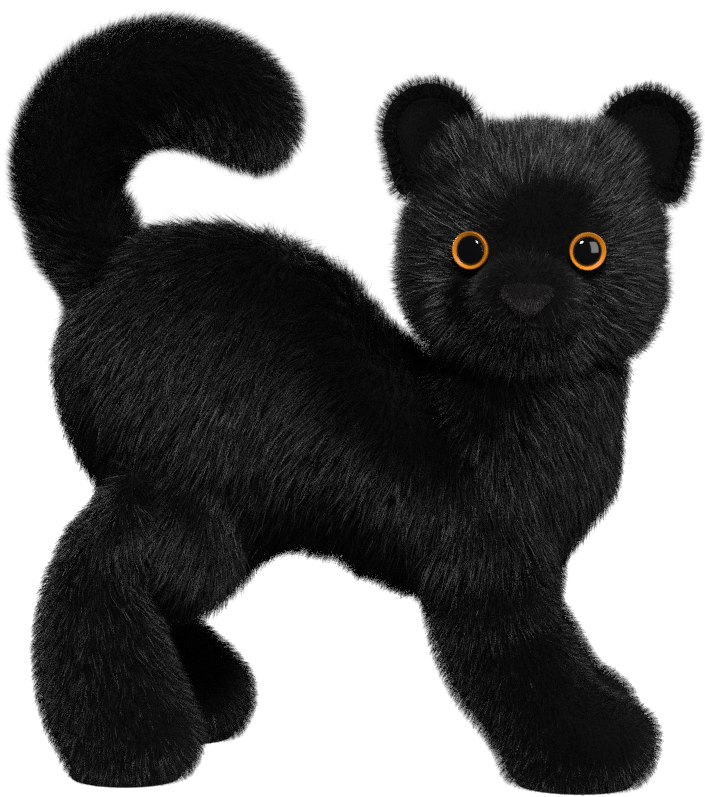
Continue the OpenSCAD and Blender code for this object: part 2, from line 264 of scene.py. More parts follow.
def cloth_material(name, color, scale):
    """Knitted backing cloth: fine stitch rows with a little colour variation."""
    material, tree, shader = new_material(name, color, 0.9, 0.1)
    shader.inputs["Sheen Weight"].default_value = 0.1
    rows = grain(tree, "ShaderNodeTexWave", Scale=scale, Distortion=2.0)
    paint(tree, shader, rows, (0.0, scaled(color, 0.5)), (1.0, color))
    bump = add_node(tree, "ShaderNodeBump", {"Strength": 0.3, "Distance": 0.0003, "Height": rows})
    tree.links.new(bump.outputs["Normal"], shader.inputs["Normal"])
    return material


def wadding_material(name, color):
    """Loose white fibre."""
    material, tree, shader = new_material(name, color, 0.95, 0.1)
    fibre = grain(tree, "ShaderNodeTexNoise", Scale=220.0, Detail=6.0)
    paint(tree, shader, fibre, (0.3, scaled(color, 0.7)), (0.7, color))
    return material


def clear_material(name):
    """Clear polished plastic: its rim reflects, and the rest passes straight through."""
    material = bpy.data.materials.new(name)
    material.use_nodes = True
    tree = material.node_tree
    tree.nodes.remove(tree.nodes["Principled BSDF"])
    edge = add_node(tree, "ShaderNodeFresnel", {"IOR": 1.5}).outputs[0]
    inside = add_node(tree, "ShaderNodeNewGeometry").outputs["Backfacing"]
    shine = add_node(tree, "ShaderNodeMath", {0: edge, 1: inside}, operation="SUBTRACT", use_clamp=True)
    rim = add_node(tree, "ShaderNodeMapRange", {"From Min": 0.06, "To Max": 0.3, "Value": shine.outputs[0]})
    clear = add_node(tree, "ShaderNodeBsdfTransparent").outputs[0]
    polish = add_node(tree, "ShaderNodeBsdfGlossy", {"Roughness": 0.03}).outputs[0]
    both = add_node(tree, "ShaderNodeMixShader", {0: rim.outputs["Result"], 1: clear, 2: polish})
    tree.links.new(both.outputs[0], tree.nodes["Material Output"].inputs["Surface"])
    return material


def moulded_material(name, color, roughness, specular=0.5):
    """Moulded plastic with a faint mottle."""
    material, tree, shader = new_material(name, color, roughness, specular)
    mottle = grain(tree, "ShaderNodeTexNoise", Scale=900.0)
    paint(tree, shader, mottle, (0.35, scaled(color, 0.85)), (0.65, color))
    return material


def iris_material(name, color, centre, axis, radius):
    """Amber ring, dark towards the pupil and brightest midway, with a fine mottle."""
    material, tree, shader = new_material(name, color, 0.4, 0.3)
    place = add_node(tree, "ShaderNodeTexCoord").outputs["Object"]
    away = add_node(tree, "ShaderNodeVectorMath", {0: place, 1: centre}, operation="SUBTRACT")
    turn = add_node(tree, "ShaderNodeVectorMath", {0: away.outputs[0], 1: axis}, operation="CROSS_PRODUCT")
    reach = add_node(tree, "ShaderNodeVectorMath", {0: turn.outputs[0]}, operation="LENGTH")
    share = add_node(tree, "ShaderNodeMath", {0: reach.outputs["Value"], 1: radius}, operation="DIVIDE")
    deep = scaled(color, 0.35)
    bright = (color[0] * 1.3, color[1] * 1.4, color[2] * 1.3)
    ring = ramp(tree, share.outputs[0],
                [(0.0, deep), (0.74, deep), (0.80, color), (0.90, bright), (1.0, color)])
    mottle = grain(tree, "ShaderNodeTexNoise", Scale=1500.0)
    fine = ramp(tree, mottle, [(0.3, (0.7, 0.7, 0.7)), (0.7, (1, 1, 1))])
    tree.links.new(mix(tree, 0.3, ring, fine, "MULTIPLY"), shader.inputs["Base Color"])
    return material


# ---- meshes


def link_mesh(name, mesh, material, body, nodes=()):
    """Adds a mesh as a piece that rides on a body and stands for CAD nodes."""
    piece = bpy.data.objects.new(name, mesh)
    bpy.context.scene.collection.objects.link(piece)
    piece.data.materials.append(material)
    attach(piece, body)
    if nodes:
        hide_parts(*nodes)
    return piece


def bridge(bm, a, b, flip=False):
    """Faces between two rings of points; a ring of one point is a pole."""
    count = max(len(a), len(b))
    for j in range(count):
        k = (j + 1) % count
        if flip:
            j, k = k, j
        corner = [a[j % len(a)], a[k % len(a)], b[k % len(b)], b[j % len(b)]]
        bm.faces.new(list(dict.fromkeys(corner)))


def disc(bm, rings, spokes, place):
    """Edge of a new round sheet; place gives a point by the share of the way out and its spoke."""
    inner = []
    for i in range(rings + 1):
        outer = [bm.verts.new(place(i / rings, j)) for j in range(spokes if i else 1)]
        if inner:
            bridge(bm, outer, inner)
        inner = outer
    return inner


def closed_mesh(name, bm):
    """Smooth mesh from a closed bmesh, with its faces turned outwards."""
    bmesh.ops.recalc_face_normals(bm, faces=bm.faces)
    mesh = bpy.data.meshes.new(name)
    bm.to_mesh(mesh)
    bm.free()
    mesh.shade_smooth()
    return mesh


def form_mesh(node, balls, voxel, rounds, swell):
    """Closed soft form: a CAD form and ellipsoids fused, smoothed and swollen, all in metres.
    A ball is (centre, axes), where axes are three half-axis vectors."""
    merged = bmesh.new()
    merged.from_mesh(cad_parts[node].data)
    bmesh.ops.remove_doubles(merged, verts=merged.verts, dist=1e-6)
    scratch = bpy.data.meshes.new("scratch")
    merged.to_mesh(scratch)
    merged.free()
    bm = bmesh.new()
    bm.from_mesh(scratch)
    bpy.data.meshes.remove(scratch)
    for centre, axes in balls:
        matrix = Matrix.Translation(Vector(centre)) @ Matrix(np.array(axes).T.tolist()).to_4x4()
        bmesh.ops.create_uvsphere(bm, u_segments=28, v_segments=18, radius=1.0, matrix=matrix)
    mesh = bpy.data.meshes.new("form")
    bm.to_mesh(mesh)
    bm.free()
    rough = bpy.data.objects.new("form", mesh)
    bpy.context.scene.collection.objects.link(rough)
    remesh = rough.modifiers.new("remesh", "REMESH")
    remesh.mode = "VOXEL"
    remesh.voxel_size = voxel
    smooth = rough.modifiers.new("smooth", "SMOOTH")
    smooth.factor = 0.5
    smooth.iterations = rounds
    push = rough.modifiers.new("swell", "DISPLACE")
    push.strength = swell
    push.mid_level = 0.0
    made = bpy.data.meshes.new_from_object(rough.evaluated_get(bpy.context.evaluated_depsgraph_get()))
    bpy.data.objects.remove(rough)
    bpy.data.meshes.remove(mesh)
    made.shade_smooth()
    return made


def mesh_arrays(mesh):
    """Vertices, triangles and vertex normals of a mesh as arrays."""
    mesh.calc_loop_triangles()
    points = np.empty(len(mesh.vertices) * 3)
    mesh.vertices.foreach_get("co", points)
    normals = np.empty(len(mesh.vertices) * 3)
    mesh.vertices.foreach_get("normal", normals)
    faces = np.empty(len(mesh.loop_triangles) * 3, dtype=np.int64)
    mesh.loop_triangles.foreach_get("vertices", faces)
    return points.reshape(-1, 3), faces.reshape(-1, 3), normals.reshape(-1, 3)


def scatter(mesh, per_mm2, seed):
    """Roots spread evenly over a mesh, with their normals."""
    points, faces, normals = mesh_arrays(mesh)
    rng = np.random.default_rng(seed)
    a, b, c = (points[faces[:, k]] for k in range(3))
    area = np.linalg.norm(np.cross(b - a, c - a), axis=1) / 2
    count = int(area.sum() / MM ** 2 * per_mm2)
    pick = np.searchsorted(np.cumsum(area) / area.sum(), (np.arange(count) + rng.random(count)) / count)
    pick = np.minimum(pick, len(faces) - 1)
    u, v = rng.random(count), rng.random(count)
    over = u + v > 1
    u[over], v[over] = 1 - u[over], 1 - v[over]
    w = np.stack([1 - u - v, u, v], axis=1)[:, :, None]
    root = (np.stack([a[pick], b[pick], c[pick]], axis=1) * w).sum(axis=1)
    normal = (np.stack([normals[faces[pick, k]] for k in range(3)], axis=1) * w).sum(axis=1)
    return root, unit(normal)


def ripple(points, size_mm, seed):
    """Smooth random vectors that change over about size_mm."""
    rng = np.random.default_rng(seed)
    field = np.zeros_like(points)
    for _ in range(7):
        wave = unit(rng.normal(size=3)) * (2 * math.pi / (size_mm * MM)) * rng.uniform(0.6, 1.5)
        field += np.sin(points @ wave + rng.uniform(0, 2 * math.pi))[:, None] * unit(rng.normal(size=3))
    return field / 2.6


def tuft_centres(points, cell_mm, seed):
    """Nearest centre of a jittered grid of tufts for each root."""
    cell = cell_mm * MM
    base = np.floor(points / cell).astype(np.int64)
    best = np.full(len(points), np.inf)
    centre = np.zeros_like(points)
    for step in np.ndindex(3, 3, 3):
        key = base + np.array(step) - 1
        mixed = key[:, 0] * 73856093 ^ key[:, 1] * 19349663 ^ key[:, 2] * 83492791 ^ seed * 2654435761
        digits = [((mixed >> shift) * 2246822519 & 0xFFFFF) / 0xFFFFF for shift in (0, 7, 13)]
        jitter = np.stack(digits, axis=1)
        there = (key + jitter) * cell
        distance = ((there - points) ** 2).sum(axis=1)
        nearer = distance < best
        best[nearer] = distance[nearer]
        centre[nearer] = there[nearer]
    return centre


def strand_mesh(name, curve, side, width, tint):
    """Tapered ribbons along curves of shape (strands, levels, 3)."""
    count, levels, _ = curve.shape
    segments = levels - 1
    each = 2 * segments + 1
    taper = (1 - (np.arange(segments) / segments) ** 1.5) * 0.65 + 0.35
    offset = side[:, None, :] * (width[:, None] * taper[None, :])[:, :, None] / 2
    points = np.empty((count, each, 3), dtype=np.float32)
    points[:, 0:2 * segments:2] = curve[:, :segments] - offset
    points[:, 1:2 * segments:2] = curve[:, :segments] + offset
    points[:, -1] = curve[:, -1]
    quads = [[2 * k, 2 * k + 1, 2 * k + 3, 2 * k + 2] for k in range(segments - 1)]
    corners = np.array([i for q in quads for i in q] + [2 * segments - 2, 2 * segments - 1, 2 * segments])
    starts = np.array([4 * k for k in range(segments)])
    base = np.arange(count)[:, None]
    mesh = bpy.data.meshes.new(name)
    mesh.vertices.add(count * each)
    mesh.vertices.foreach_set("co", points.ravel())
    mesh.loops.add(count * len(corners))
    mesh.loops.foreach_set("vertex_index", (base * each + corners).ravel().astype(np.int32))
    mesh.polygons.add(count * segments)
    mesh.polygons.foreach_set("loop_start", (base * len(corners) + starts).ravel().astype(np.int32))
    mesh.update(calc_edges=True)
    height = np.array([(i // 2) / segments for i in range(each)])
    uv = np.empty((count, len(corners), 2), dtype=np.float32)
    uv[:, :, 0] = tint[:, None]
    uv[:, :, 1] = height[corners] * 0.98 + 0.01
    mesh.uv_layers.new(name="OFBake").uv.foreach_set("vector", uv.ravel())
    mesh.shade_smooth()
    return mesh


def combed(root, normal, flow, length, lift, droop, seed, levels=4, tuft_mm=3.2, gather=0.8, stray=0.12):
    """Curves of strands that leave the cloth at the lift angle and bend towards their flow."""
    rng = np.random.default_rng(seed)
    flow = flow + ripple(root, 9, seed) * 0.34 + ripple(root, 3, seed + 1) * 0.14
    flow = unit(flow - (flow * normal).sum(axis=1, keepdims=True) * normal)
    lift = lift + rng.normal(0, 0.13, len(root))
    start = normal * np.sin(lift)[:, None] + flow * np.cos(lift)[:, None]
    start = unit(start + rng.normal(0, stray, root.shape))
    end = unit(start + flow * 0.45 - UP * droop + rng.normal(0, stray, root.shape))
    long = (length * rng.uniform(0.72, 1.08, len(root)))[:, None]
    centre = tuft_centres(root, tuft_mm, seed)
    centre = centre - ((centre - root) * normal).sum(axis=1, keepdims=True) * normal
    pull = (centre - root) * (gather * rng.uniform(0.65, 1.0, len(root)))[:, None]
    s = np.linspace(0, 1, levels)[None, :, None]
    along = long[:, None, :] * (start[:, None, :] * s + (end - start)[:, None, :] * s ** 2 / 2)
    curve = root[:, None, :] + along + pull[:, None, :] * s ** 1.3
    curve[:, :, 2] = np.maximum(curve[:, :, 2], ABOVE_FLOOR * MM)
    side = unit(np.cross(start, unit(rng.normal(size=root.shape))))
    return curve, side, rng


def grow(name, body, node, root, normal, flow, length, lift, droop, seed, slot="black_long_pile",
         material=None, levels=4, thick=1.0, **style):
    """Pile as one piece, or as lots in order along X where one piece would hold too many triangles."""
    pile = bpy.context.scene.plush_pile
    curve, side, rng = combed(root, normal, flow, length, lift, droop, seed, levels, **style)
    width = pile.width_mm * MM * thick * rng.uniform(0.6, 1.2, len(root))
    width *= np.clip(length / (8 * MM), 0.6, 1.0)
    tint = np.clip(rng.random(len(root)) + ripple(root, 14, 5)[:, 0] * 0.12, 0.01, 0.99)
    lots = math.ceil(len(root) * (2 * levels - 3) / MOST_TRIANGLES)
    for number, chosen in enumerate(np.array_split(np.argsort(root[:, 0]), lots)):
        title = name if lots == 1 else f"{name}_{number + 1}"
        mesh = strand_mesh(title, curve[chosen], side[chosen], width[chosen], tint[chosen])
        link_mesh(title, mesh, material or shared("pile"), body, [node])


def grow_groups(body, groups, strands, droop, seed, **style):
    """Pile of a body's panels: strands are roots, normals, flows, lengths and lifts, and a group is
    the name of its piece, which strands it has and the panel that it stands for."""
    for number, (name, chosen, node) in enumerate(groups):
        grow(name, body, node, *(values[chosen] for values in strands), droop, seed + number, **style)


def shared(kind):
    """The scene's materials, made once."""
    name = "plush_" + kind
    if name in bpy.data.materials:
        return bpy.data.materials[name]
    pile = bpy.context.scene.plush_pile
    black, glint_tips = tuple(pile.black), tuple(pile.glint_tips)
    # The tip colour is the painted glint of the strands.
    makers = {
        "pile": (pile_material, black, glint_tips),
        # Copy with tips 1.9 times paler: painted light on the head's sides, crown and the ears.
        "face_pile": (pile_material, black, scaled(glint_tips, 1.9), 0.48, 0.75),
        # Copy with darker tips: painted shade on the muzzle and chin.
        "muzzle_pile": (pile_material, black, scaled(glint_tips, 0.8), 0.45, 0.3),
        "short_pile": (pile_material, black, scaled(glint_tips, 0.4), 0.6, 0.12),
        "cloth": (cloth_material, (0.0018, 0.0017, 0.0019), 900.0),
        "wadding": (wadding_material, (0.8, 0.8, 0.77)),
        "thread": (cloth_material, (0.01, 0.009, 0.01), 2500.0),
        "washer": (moulded_material, (0.72, 0.72, 0.68), 0.45),
    }
    make, *values = makers[kind]
    return make(name, *values)


def dress(node, kind):
    """Gives a CAD node that stays in view its material."""
    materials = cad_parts[node].data.materials
    materials.clear()
    materials.append(shared(kind))


# ---- soft forms


def ball(centre, x, y, z):
    """Ellipsoid with half axes in mm along the frame's axes."""
    return centre, [[x * MM, 0, 0], [0, y * MM, 0], [0, 0, z * MM]]


def head_ball(centre, forward, left, up):
    """Ellipsoid with half axes in mm along the head's axes."""
    return centre, [FACE * forward * MM, LEFTWARD * left * MM, UP * up * MM]


def leg_top(leg):
    """Point at the top of a leg's form."""
    node = leg + "_stuffing"
    points = node_points(node)
    return points[points[:, 2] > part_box(node)[1].z - 1e-5].mean(axis=0)


def inwards(top):
    """Sign along Y from the top of a leg towards the middle of the torso."""
    return -np.sign(top[1] - middle("torso_stuffing")[1])


def torso_balls():
    """Thighs, shoulders and the neck, which widens down into the chest."""
    balls = []
    for leg in LEGS:
        top = leg_top(leg)
        inward = inwards(top)
        if "hind" in leg:
            balls.append(ball(top + np.array([20, inward * 14, -1]) * MM, 20, 16, 21))
        else:
            balls.append(ball(top + np.array([1, inward * 10, 12]) * MM, 20, 15, 22))
    low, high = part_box("torso_stuffing")
    chest = np.array([HEAD[0] - 3 * MM, (low.y + high.y) / 2, low.z + 48 * MM])
    neck = HEAD + np.array([0, 4, -42]) * MM
    for t in np.linspace(0, 1, 5):
        balls.append(ball(neck + (chest - neck) * t, 28 + t, 27 + 7 * t, 18 + 14 * t))
    return balls


def head_balls():
    """Muzzle, cheeks and brow."""
    balls = [
        head_ball(on_head(30, 0, -13), 14, 17, 13),
        head_ball(on_head(16, 0, -22), 18, 24, 14),
        head_ball(on_head(20, 0, 16), 14, 24, 14),
    ]
    for side in SIDES.values():
        balls.append(head_ball(on_head(8, side * 20, -12), 22, 21, 20))
        balls.append(head_ball(on_head(0, side * 20, 24.5), 13, 13, 12))
    return balls


def leg_balls(leg):
    """Hip inside the torso and paw at the front of the foot."""
    top = leg_top(leg)
    low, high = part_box(leg + "_sole")
    foot = (np.array(low) + np.array(high)) / 2
    inward = inwards(top)
    hip = ball(top + np.array([3, inward * 8, -2]) * MM, 15, 14, 20)
    paw = ball(np.array([high.x - 15 * MM, foot[1], 14 * MM]), 14, 16, 12.5)
    heel = ball(np.array([foot[0], foot[1], 13 * MM]), 18, 15, 10)
    return [hip, paw, heel]


def tail_balls():
    """Root of the tail inside the rump."""
    low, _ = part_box("tail_stuffing")
    points = node_points("tail_stuffing")
    root = points[np.argmin(points[:, 2])]
    root = np.array([root[0], middle("tail_stuffing")[1], low.z])
    above = ball(root + np.array([1, 0, 4]) * MM, 12, 12, 16)
    below = ball(root + np.array([5, 0, -8]) * MM, 11, 13, 12)
    return [above, below]


SOCKET_REACH = 11  # mm from an eye's middle over which the face swells
SOCKET_RISE = 4.0
# Pushes of the stuffing, each as x, z and reach in mm, then the shift in x and z in mm.
NUDGES = {
    "torso": [(-90, 98, 23, 8.0, 0), (-101, 158, 14, 4.5, 0), (-34, 181, 40, 0, 2.3),
        (6, 158, 20, -1.0, -2.2), (-69, 181, 10, 0, 2.0), (16, 150, 12, -1.0, -1.6), (-18, 73, 18, 0, 3.8),
        (-4, 68, 14, 0, -3.6), (-38, 62, 14, 0, -4.0), (18, 62, 18, -1.0, -3.0), (92, 106, 34, -1.2, 0),
        (82, 84, 16, -2.2, 0.6)],
    "head": [(62, 170, 60, -0.8, 0), (19, 181, 15, -2.0, 0), (102, 187, 12, 1.5, 0), (17, 154, 12, 1.0, 0),
        (93, 142, 10, 2.0, -1.5)],
    "tail": [(-60, 215, 200, -1.0, 0), (-101, 158, 14, 4.5, 0), (-30, 238, 18, 1.0, 1.4),
        (-17, 216, 12, -1.6, 0), (-37, 203, 14, 0, -1.6), (-74, 196, 14, -1.8, 0)],
    "right_hind": [(-86, 97, 17, 11.0, 0), (-94, 73, 12, -2.5, 0), (-98, 40, 28, -3.2, 0),
        (-94, 4, 10, 3.0, 0)],
    "left_hind": [(-54, 54, 16, -11.0, 0), (-46, 30, 9, 3.0, 0)],
    "right_fore": [(32, 50, 18, -5.0, 0), (41, 27, 13, -5.5, 0), (72, 58, 12, 1.2, 0),
        (83, 38, 14, -3.0, -2.8), (95, 22, 9, 2.2, 0)],
    "left_fore": [(34, 44, 22, -2.0, 0)],
}


def nudge(mesh, part):
    """Pushes a part's stuffing in or out, and swells the face round the eyes."""
    points = mesh_arrays(mesh)[0]
    moved = points.copy()
    for x, z, reach, shift_x, shift_z in NUDGES[part]:
        gap = np.hypot(points[:, 0] / MM - x, points[:, 2] / MM - z)
        weight = np.exp(-(gap / reach) ** 2)
        moved += weight[:, None] * np.array([shift_x, 0.0, shift_z]) * MM
    if part == "head":
        for eye in EYES.values():
            gap = np.linalg.norm(points - eye, axis=1) / MM
            moved += np.exp(-(gap / SOCKET_REACH) ** 2)[:, None] * FACE * SOCKET_RISE * MM
    mesh.vertices.foreach_set("co", moved.ravel())
    mesh.update()


def make_skin(part, balls, swell, voxel=2.2, rounds=6, stretch=(1, 1, 1)):
    """Backing cloth of one stuffed part, kept for its pile; swell and voxel are in mm."""
    node = part + "_stuffing"
    mesh = form_mesh(node, balls, voxel * MM, rounds, swell * MM)
    centre = Vector(middle(node))
    mesh.transform(Matrix.Translation(centre) @ Matrix.Diagonal((*stretch, 1)) @ Matrix.Translation(-centre))
    nudge(mesh, part)
    SKINS[part] = mesh
    link_mesh(part + "_cloth", mesh, shared("cloth"), BODIES[part], ())


class PLUSH_OT_cloth(bpy.types.Operator):
    """Backing cloth of the torso, head, legs and tail as stuffed forms"""

    bl_idname = "plush.cloth"
    bl_label = "Cloth Skins"

    def execute(self, context):
        make_skin("torso", torso_balls(), 2.2, 2.6, 12, (0.975, 1, 1.028))
        make_skin("head", head_balls(), 1.7, 2.0, 8)
        make_skin("tail", tail_balls(), 4.7)
        for leg in LEGS:
            make_skin(leg, leg_balls(leg), 2.7)
        return {"FINISHED"}


class PLUSH_OT_wadding(bpy.types.Operator):
    """Loose stuffing inside each skin"""

    bl_idname = "plush.wadding"
    bl_label = "Wadding"

    def execute(self, context):
        for part, body in BODIES.items():
            mesh = form_mesh(part + "_stuffing", [], 3 * MM, 2, -3.5 * MM)
            nudge(mesh, part)
            link_mesh(part + "_wadding", mesh, shared("wadding"), body,
                      [part + "_stuffing"])
        return {"FINISHED"}


# ---- pile


def strands_per_mm2(share=1.0):
    """Strands on each square mm."""
    return bpy.context.scene.plush_pile.density * share * 1.0


def clear_of(root, part, depth_mm):
    """True for roots that aren't deeper than depth_mm inside another part's skin."""
    points, faces, _ = mesh_arrays(SKINS[part])
    tree = BVHTree.FromPolygons(points.tolist(), faces.tolist())
    low, high = points.min(axis=0), points.max(axis=0)
    keep = np.ones(len(root), dtype=bool)
    near = np.nonzero(((root > low) & (root < high)).all(axis=1))[0]
    for i in near:
        there, normal, _, _ = tree.find_nearest(Vector(root[i]))
        if (Vector(root[i]) - there).dot(normal) < -depth_mm * MM:
            keep[i] = False
    return keep


def blend_to(a, b, t):
    """Mix of two values, or of two vectors, by t from 0 to 1, eased."""
    t = np.clip(t, 0, 1)
    t = t * t * (3 - 2 * t)
    a, b = np.asarray(a), np.asarray(b)
    if a.shape == (3,):
        t = t[:, None]
    return a + (b - a) * t


class PLUSH_OT_torso_pile(bpy.types.Operator):
    """Long pile of the torso's three panels"""

    bl_idname = "plush.torso_pile"
    bl_label = "Torso Pile"

    def execute(self, context):
        pile = context.scene.plush_pile
        root, normal = scatter(SKINS["torso"], strands_per_mm2(), 11)
        keep = clear_of(root, "head", 8)
        for leg in LEGS:
            keep &= clear_of(root, leg, 5)
        root, normal = root[keep], normal[keep]
        low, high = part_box("torso_stuffing")
        middle_y = middle("torso_stuffing")[1]
        along = (root[:, 0] - low.x) / (high.x - low.x)
        flow = blend_to(np.array([-0.45, 0.0, -1.0]), np.array([-0.05, 0.0, -1.0]), (along - 0.5) / 0.4)
        chest = np.array([high.x - 56 * MM, middle_y, low.z + 66 * MM])
        spoke = (root - chest) * np.array([1.0, 0.0, 1.0])
        away = np.linalg.norm(spoke, axis=1) / MM
        standing = np.exp(-(away / 30) ** 2) * (root[:, 1] < middle_y + 25 * MM)
        near = blend_to(1.0, 0.0, (away - 34) / 30)
        flow = flow + unit(spoke) * (0.9 * near)[:, None]
        length = np.full(len(root), pile.torso_mm * MM) * (1 - 0.25 * standing)
        length *= 1 + 0.15 * np.clip(-normal[:, 2], 0, 1)
        length *= blend_to(0.9, 1.0, (root[:, 2] - low.z) / (20 * MM))
        lift = 0.5 + 0.85 * standing
        belly = normal[:, 2] < -0.62
        right = root[:, 1] < middle_y
        groups = [
            ("belly_pile", belly, "belly_panel"),
            ("torso_right_pile", ~belly & right, "torso_right_panel"),
            ("torso_left_pile", ~belly & ~right, "torso_left_panel"),
        ]
        grow_groups("torso", groups, (root, normal, flow, length, lift), 0.3, 20)
        return {"FINISHED"}


class PLUSH_OT_head_pile(bpy.types.Operator):
    """Pile of the head, trimmed short on the muzzle and brushed away from the face"""

    bl_idname = "plush.head_pile"
    bl_label = "Head Pile"

    def execute(self, context):
        pile = context.scene.plush_pile
        root, normal = scatter(SKINS["head"], strands_per_mm2(1.25), 31)
        keep = clear_of(root, "torso", 5)
        for side in SIDES:
            gap = root - EYES[side]
            keep &= np.linalg.norm(gap, axis=1) > EYE_CLEAR * MM
        forward, left, up = head_parts(root)
        keep &= (forward < 20) | (((left / 7) ** 2 + ((up - nose_height()) / 4.6) ** 2) > 1)
        root, normal = root[keep], normal[keep]
        forward, left, up = head_parts(root)
        face_point = on_head(42, 0, -4)
        flow = unit(root - face_point)
        away = np.sqrt(left ** 2 + (up + 6) ** 2)
        trimmed = np.clip((away - 13) / 22, 0, 1)
        trimmed = np.where(forward < 10, 1.0, trimmed)
        length = blend_to(pile.muzzle_mm, pile.head_mm, trimmed) * MM
        for side in SIDES:
            near = np.linalg.norm(root - EYES[side], axis=1) / MM
            length *= blend_to(0.3, 1.0, (near - EYE_CLEAR) / 7)
        chin = np.clip((-up - 20) / 12, 0, 1) * np.clip(forward / 10, 0, 1)
        length *= 1 + 0.25 * chin
        rise = up + 12
        facing = np.hypot(left + 5 - 0.4 * np.maximum(rise, 0), np.where(rise < 0, rise / 2.2, rise / 1.4))
        lift = blend_to(1.35, 0.35, (facing - 13) / 18)
        lift = np.where(forward < 0, np.minimum(lift, 0.7), lift)
        lift = blend_to(lift, np.full(len(root), 1.0), (normal[:, 2] - 0.7) / 0.3)
        edge = 19 + ripple(root, 5, 33)[:, 0] * 2.5
        muzzle = (facing < edge) & (forward > 8)
        crown = ~muzzle & (np.abs(left) < 11)
        sides = ~muzzle & ~crown
        strands = (root, normal, flow, length, lift)
        style = {"tuft_mm": 2.0, "gather": 0.85}
        groups = [
            ("head_gusset_pile", crown, "head_gusset"),
            ("head_right_pile", sides & (left < 0), "head_right_panel"),
            ("head_left_pile", sides & (left >= 0), "head_left_panel"),
        ]
        # The muzzle takes the darker-tipped copy: painted shade.
        grow_groups("head", [("muzzle_pile", muzzle, "muzzle_panel")], strands, 0.06, 40,
                    material=shared("muzzle_pile"), **style)
        # The sides and crown take the paler-tipped copy: painted light.
        grow_groups("head", groups, strands, 0.06, 41, material=shared("face_pile"), **style)
        return {"FINISHED"}


class PLUSH_OT_leg_pile(bpy.types.Operator):
    """Pile of the four legs, shorter on the paws"""

    bl_idname = "plush.leg_pile"
    bl_label = "Leg Pile"

    def execute(self, context):
        pile = context.scene.plush_pile
        for number, leg in enumerate(LEGS):
            root, normal = scatter(SKINS[leg], strands_per_mm2(1.2), 51 + number)
            keep = clear_of(root, "torso", 6) & (root[:, 2] > 1.2 * MM)
            root, normal = root[keep], normal[keep]
            centre_y = middle(leg + "_stuffing")[1]
            flow = np.broadcast_to(np.array([0.12, 0.0, -1.0]), root.shape).copy()
            length = blend_to(pile.paw_mm, pile.leg_mm, (root[:, 2] / MM - 15) / 30) * MM
            standing = 0.35 if "fore" in leg else 0.0
            lift = blend_to(1.0, 0.8, (root[:, 2] / MM - 10) / 40) + standing
            top = np.clip((root[:, 2] / MM - 66) / 22, 0, 1)
            length = length * (1 + 0.5 * top)
            lift = lift * (1 - 0.35 * top)
            outer = (root[:, 1] - centre_y) * (-1 if leg.startswith("right") else 1) > 0
            groups = [
                (leg + "_outer_pile", outer, leg + "_outer_panel"),
                (leg + "_inner_pile", ~outer, leg + "_inner_panel"),
            ]
            grow_groups(BODIES[leg], groups, (root, normal, flow, length, lift), 0.15, 60 + 2 * number,
                        tuft_mm=1.9, gather=0.85)
        return {"FINISHED"}


class PLUSH_OT_tail_pile(bpy.types.Operator):
    """Pile of the tail, combed towards its tip"""

    bl_idname = "plush.tail_pile"
    bl_label = "Tail Pile"

    def execute(self, context):
        pile = context.scene.plush_pile
        root, normal = scatter(SKINS["tail"], strands_per_mm2(1.3), 71)
        keep = clear_of(root, "torso", 5)
        root, normal = root[keep], normal[keep]
        low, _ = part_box("tail_stuffing")
        curl = np.array([low.x + 34 * MM, 0.0, low.z + 24 * MM])
        spoke = root - curl
        flow = unit(np.stack([spoke[:, 2], np.zeros(len(root)), -spoke[:, 0]], axis=1))
        length = np.full(len(root), pile.tail_mm * MM)
        lift = np.full(len(root), 1.0)
        right = root[:, 1] < middle("tail_stuffing")[1]
        groups = [
            ("tail_right_pile", right, "tail_right_panel"),
            ("tail_left_pile", ~right, "tail_left_panel"),
        ]
        grow_groups("tail", groups, (root, normal, flow, length, lift), 0.0, 80, tuft_mm=2.1, gather=0.85)
        return {"FINISHED"}


# ---- ears


def ear_axes(side):
    """Centre of a round ear, the direction that it stands up in, and the one towards its cheek."""
    out = UP * math.cos(EAR_LEAN) + LEFTWARD * SIDES[side] * math.sin(EAR_LEAN)
    cheek = LEFTWARD * SIDES[side] * math.cos(EAR_LEAN) - UP * math.sin(EAR_LEAN)
    reach = ((node_points(side + "_ear_back") - HEAD) @ out).max() - EAR_RADIUS * MM
    shift = LEFTWARD * (0.8 - 0.5 * SIDES[side]) - UP * (0.25 + 0.95 * SIDES[side])
    return HEAD + out * reach + (cheek + shift) * MM, out, cheek


def ear_edge(angle, inset):
    """Distance in mm from an ear's middle to its edge: a round top joined to a small foot at the cheek."""
    ways = np.linspace(0, 2 * math.pi, 180, endpoint=False)
    foot = -7.5 * np.cos(ways) + 16.5 * np.sin(ways) + 5.0
    reach = np.maximum(EAR_RADIUS - 1.6, foot) - inset
    facing = np.cos(ways - angle)
    seen = facing > 0.05
    return (reach[seen] / facing[seen]).min()


def ear_mesh(name, side, inset, front, back, rings=12, spokes=48):
    """Dish whose front and back are depths in mm by the share of the way to its edge."""
    centre, out, cheek = ear_axes(side)
    edges = [ear_edge(2 * math.pi * j / spokes, inset) for j in range(spokes)]
    bm = bmesh.new()

    def place(depth, share, j):
        angle = 2 * math.pi * j / spokes
        along = math.cos(angle) * edges[j] * share
        across = math.sin(angle) * edges[j] * share
        point = centre + (out * along + cheek * across) * MM
        return point + FACE * (depth(share) + 0.09 * along) * MM

    rims = [disc(bm, rings, spokes, partial(place, depth)) for depth in (front, back)]
    bridge(bm, *rims, flip=True)
    return closed_mesh(name, bm)


